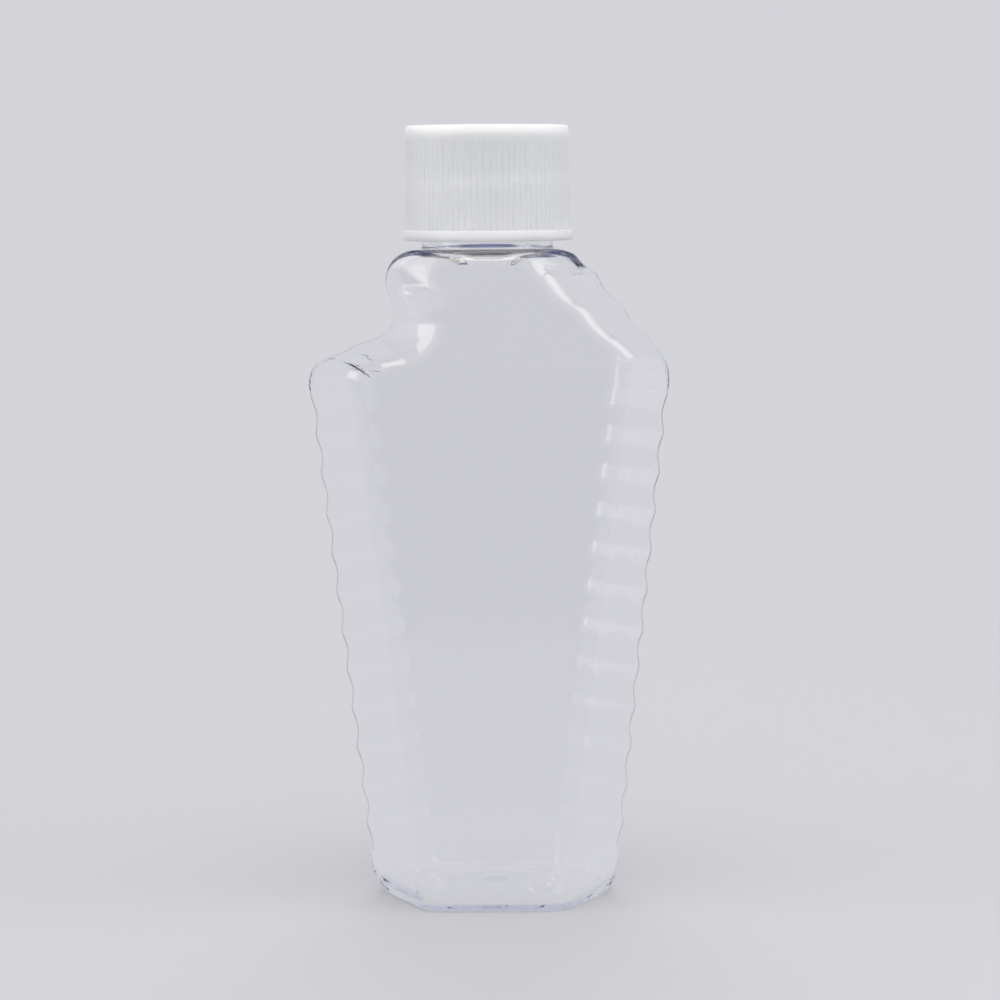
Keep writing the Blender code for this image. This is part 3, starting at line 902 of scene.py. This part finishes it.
def white_pp():
    material, nodes, links = new_material("white_pp_satin")
    shader = nodes["Principled BSDF"]
    mottle = object_noise(nodes, links, scale=160, detail=4)
    links.new(mix_colours(nodes, links, mottle, *pp_tones), shader.inputs["Base Color"])
    roughness = map_range(nodes, links, mottle, *noise_middle, *pp_roughness)
    links.new(roughness, shader.inputs["Roughness"])
    light_enters(shader, radius=(1.0, 0.93, 0.86), scale=0.006)
    grain = object_noise(nodes, links, scale=2500, detail=3)
    links.new(bump(nodes, links, grain, pp_grain), shader.inputs["Normal"])
    return material


def liner_foam():
    material, nodes, links = new_material("liner_foam")
    shader = nodes["Principled BSDF"]
    place = nodes.new("ShaderNodeTexCoord")
    cells = nodes.new("ShaderNodeTexVoronoi")
    set_inputs(cells, {"Scale": foam_scale})
    links.new(place.outputs["Object"], cells.inputs["Vector"])
    height = cells.outputs["Distance"]
    links.new(mix_colours(nodes, links, height, *foam_tones), shader.inputs["Base Color"])
    set_inputs(shader, {"Roughness": foam_roughness})
    light_enters(shader, radius=(1.0, 0.95, 0.9), scale=0.005)
    links.new(bump(nodes, links, height, foam_cells), shader.inputs["Normal"])
    return material


def wear(item, material):
    item.data.materials.clear()
    item.data.materials.append(material)


wear(bottle, clear_pet())
wear(cap, white_pp())
wear(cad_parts["cap_liner"], liner_foam())
print("the materials are", [material.name for material in bpy.data.materials if material.users])

# %% Bodies and replaced solids
for piece, body, node, slot in (
    (bottle, "bottle", "bottle", "clear_pet"),
    (cap, "cap", "screw_cap", "white_pp"),
):
    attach(piece, body)
    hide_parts(node)

# %% [markdown]
# ## Table and backdrop
#
# The bottle stands on a pale sweep: a table that rises behind it as the backdrop in one bend, so
# that no horizon shows. Real paper in a light tent is even in tone. Lamps alone would light it
# unevenly, so a part of its tone is its own glow. Near the bottle that part is smaller and the
# rest is plain paper under the lamps, which keeps the bottle's shadow. In mirror images the paper
# in front of the bottle is painted dim, like the room behind the camera: a painted dim reflection,
# only partly so where the image is seen through the plastic.

# %% The sweep
sweep_front, sweep_back, sweep_half, sweep_rise, sweep_bend = -2.5, 0.75, 3.0, 1.1, 0.35
bend_steps = 24


def sweep():
    points = [Vector((-sweep_half, y, 0)) for y in (sweep_front, 0, sweep_back - sweep_bend)]
    for step in range(1, bend_steps + 1):
        angle = math.pi / 2 * step / bend_steps
        back = sweep_back - sweep_bend + sweep_bend * math.sin(angle)
        points.append(Vector((-sweep_half, back, sweep_bend * (1 - math.cos(angle)))))
    points.append(Vector((-sweep_half, sweep_back, sweep_rise)))
    item = chain("sweep", points)
    edit(item, "EDGE", "SELECT")
    bpy.ops.mesh.extrude_edges_move(TRANSFORM_OT_translate={"value": (sweep_half * 2, 0, 0)})
    bpy.ops.mesh.select_all(action="SELECT")
    bpy.ops.mesh.normals_make_consistent(inside=False)
    leave()
    smooth(item, angle=math.radians(60))
    return item


backdrop = sweep()
print("the sweep has", len(backdrop.data.polygons), "faces")

# %% Its paper
paper_tone, paper_roughness = (0.57, 0.585, 0.63, 1), 0.85
bright_tone, dim_tone = (0.658, 0.661, 0.697, 1), (0.19, 0.2, 0.22, 1)
# The dim tone on the paper is a painted dim reflection: the paper shows it in mirror images only.
# Two values of a place between which a tone changes, and the tone's share at each of them
dim_near = (0.02, -0.05, 0.0, 0.45)  # by Y, under the bottle's front
dim_far = (-0.19, -0.36, 0.0, 0.55)  # by Y, towards the camera
glow_share = (0.1, 0.5, 0.42, 0.95)  # by the distance from the bottle
seen_through = 0.6  # what is left of the dimming through the plastic


def calculate(nodes, links, operation, first, second):
    """A sum, a product or the larger one of two sockets."""
    node = nodes.new("ShaderNodeMath")
    node.operation = operation
    links.new(first, node.inputs[0])
    links.new(second, node.inputs[1])
    return node.outputs["Value"]


def ramp(nodes, links, value, start, end, low, high):
    """The same change as map_range makes, with a soft start and end."""
    return map_range(nodes, links, value, start, end, low, high, "SMOOTHSTEP")


def sweep_paper():
    material, nodes, links = new_material("sweep_paper")
    path = nodes.new("ShaderNodeLightPath").outputs
    place = nodes.new("ShaderNodeTexCoord").outputs["Object"]
    split = nodes.new("ShaderNodeSeparateXYZ")
    links.new(place, split.inputs["Vector"])
    distance = nodes.new("ShaderNodeVectorMath")
    distance.operation = "LENGTH"
    links.new(place, distance.inputs[0])

    # Painted dim reflection: rays that mirror the paper see it dim in front of the bottle.
    near = ramp(nodes, links, split.outputs["Y"], *dim_near)
    far = ramp(nodes, links, split.outputs["Y"], *dim_far)
    dim = calculate(nodes, links, "ADD", near, far)
    dim = calculate(nodes, links, "MULTIPLY", path["Is Glossy Ray"], dim)
    through = ramp(nodes, links, path["Is Transmission Ray"], 0.0, 1.0, 1.0, seen_through)
    dim = calculate(nodes, links, "MULTIPLY", dim, through)
    glow = nodes.new("ShaderNodeEmission")
    links.new(mix_colours(nodes, links, dim, bright_tone, dim_tone), glow.inputs["Color"])

    seen = calculate(nodes, links, "MAXIMUM", path["Is Camera Ray"], path["Is Transmission Ray"])
    share = ramp(nodes, links, distance.outputs["Value"], *glow_share)
    seen = calculate(nodes, links, "MULTIPLY", seen, share)
    seen = calculate(nodes, links, "MAXIMUM", seen, path["Is Glossy Ray"])
    paper = nodes["Principled BSDF"]
    set_inputs(paper, {"Base Color": paper_tone, "Roughness": paper_roughness})
    mix = nodes.new("ShaderNodeMixShader")
    links.new(seen, mix.inputs["Fac"])
    links.new(paper.outputs["BSDF"], mix.inputs[1])
    links.new(glow.outputs["Emission"], mix.inputs[2])
    links.new(mix.outputs["Shader"], nodes["Material Output"].inputs["Surface"])
    return material


wear(backdrop, sweep_paper())
print("the paper's material has", len(backdrop.data.materials[0].node_tree.nodes), "nodes")

# %% [markdown]
# ## Light
#
# Clear plastic shows what stands round it, so what the camera doesn't see matters as much. The
# tent is bright and even all round, with one opening towards the camera behind which the room is
# dim. The flat panels mirror that opening and look a shade darker than the flanks, which mirror
# the tent. Small lamps draw the white lines: the right one along the slant, and the one over the
# bottle on the cap's roof and its edge. The rear one and the wide one in front only fill the
# shadows, so both are hidden from mirror images.


# %% Lamps
def softbox(name, place, target, size, power, colour=(1, 1, 1)):
    """An area light of a width and a height at a place, turned to face a target."""
    light = bpy.data.lights.new(name, "AREA")
    light.shape = "RECTANGLE"
    light.size, light.size_y = size
    light.energy = power
    light.color = colour
    item = bpy.data.objects.new(name, light)
    item.location = place
    item.rotation_euler = (Vector(target) - Vector(place)).to_track_quat("-Z", "Y").to_euler()
    bpy.context.scene.collection.objects.link(item)
    item.visible_camera = False
    return item


middle, upper_part, before_the_front = (0, 0, 0.1), (0, 0, 0.11), (0, -0.03, 0.1)
warm, less_warm = (1, 0.86, 0.72), (1, 0.94, 0.88)
top_lamp = softbox("top_softbox", (0, -0.2, 0.7), before_the_front, (0.5, 0.3), 1.15, warm)
rear_lamp = softbox("rear_softbox", (0, 0.42, 0.5), middle, (0.4, 0.4), 1.2, less_warm)
front_lamp = softbox("front_softbox", (0.1, -0.6, 0.35), upper_part, (1.6, 0.4), 1.6)
left_lamp = softbox("left_softbox", (-0.6, -0.2, 0.35), middle, (0.5, 0.5), 1.0)
right_lamp = softbox("right_softbox", (0.52, -0.12, 0.47), middle, (0.4, 0.4), 0.85)
for lamp in (rear_lamp, front_lamp):
    lamp.visible_transmission = lamp.visible_glossy = False
for lamp in (top_lamp, rear_lamp, front_lamp, left_lamp, right_lamp):
    print(lamp.name, "has", round(lamp.data.energy, 2), "W")

# %% The tent round the bottle and the dim opening in it
tent_tone = (0.84, 0.84, 0.855, 1)
opening_edge = (-0.98, -0.6, 1.0, 0.0)  # by the Y of the direction, as for the paper
ceiling_fade = (0.15, 0.95, 1.0, 0.55)  # by its Z
# The opening's share for rays that aren't of the kind, and for those that are
opening_shares = {"Is Glossy Ray": (0.0, 1.0), "Is Transmission Ray": (1.0, 0.4)}

world = bpy.data.worlds.new("tent")
world.use_nodes = True
nodes, links = world.node_tree.nodes, world.node_tree.links
background = nodes["Background"]
path = nodes.new("ShaderNodeLightPath")
way = nodes.new("ShaderNodeTexCoord")
split = nodes.new("ShaderNodeSeparateXYZ")
links.new(way.outputs["Generated"], split.inputs["Vector"])
opening = ramp(nodes, links, split.outputs["Y"], *opening_edge)
for kind, shares in opening_shares.items():
    dimming = ramp(nodes, links, path.outputs[kind], 0.0, 1.0, *shares)
    opening = calculate(nodes, links, "MULTIPLY", opening, dimming)
links.new(mix_colours(nodes, links, opening, tent_tone, dim_tone), background.inputs["Color"])
ceiling = ramp(nodes, links, split.outputs["Z"], *ceiling_fade)
links.new(ceiling, background.inputs["Strength"])
bpy.context.scene.world = world
print("the tent has", len(nodes), "nodes")

# %% [markdown]
# ## Camera
#
# The photograph was taken from a little above the middle of the bottle with a long lens.

# %% Camera
camera_data = bpy.data.cameras.new("camera")
camera_data.lens = 102.9
camera_data.sensor_width = 36
camera_data.clip_start = 0.01
camera = bpy.data.objects.new("camera", camera_data)
camera.location = (0.00177, -0.470, 0.11927)
pitch, roll = math.radians(6.465), math.radians(-0.35)
look = Matrix.Rotation(math.pi / 2 - pitch, 3, "X") @ Matrix.Rotation(roll, 3, "Z")
camera.rotation_euler = look.to_euler()
bpy.context.scene.collection.objects.link(camera)
bpy.context.scene.camera = camera
print("the camera sees", round(math.degrees(camera_data.angle), 1), "degrees")

# %% Bounces: light passes many walls of clear plastic on its way
many_bounces, diffuse_bounces = 80, 24
bpy.context.scene.view_settings.view_transform = "Standard"
cycles = bpy.context.scene.cycles
cycles.max_bounces = cycles.transmission_bounces = cycles.glossy_bounces = many_bounces
cycles.diffuse_bounces = diffuse_bounces
print("light may turn", many_bounces, "times")
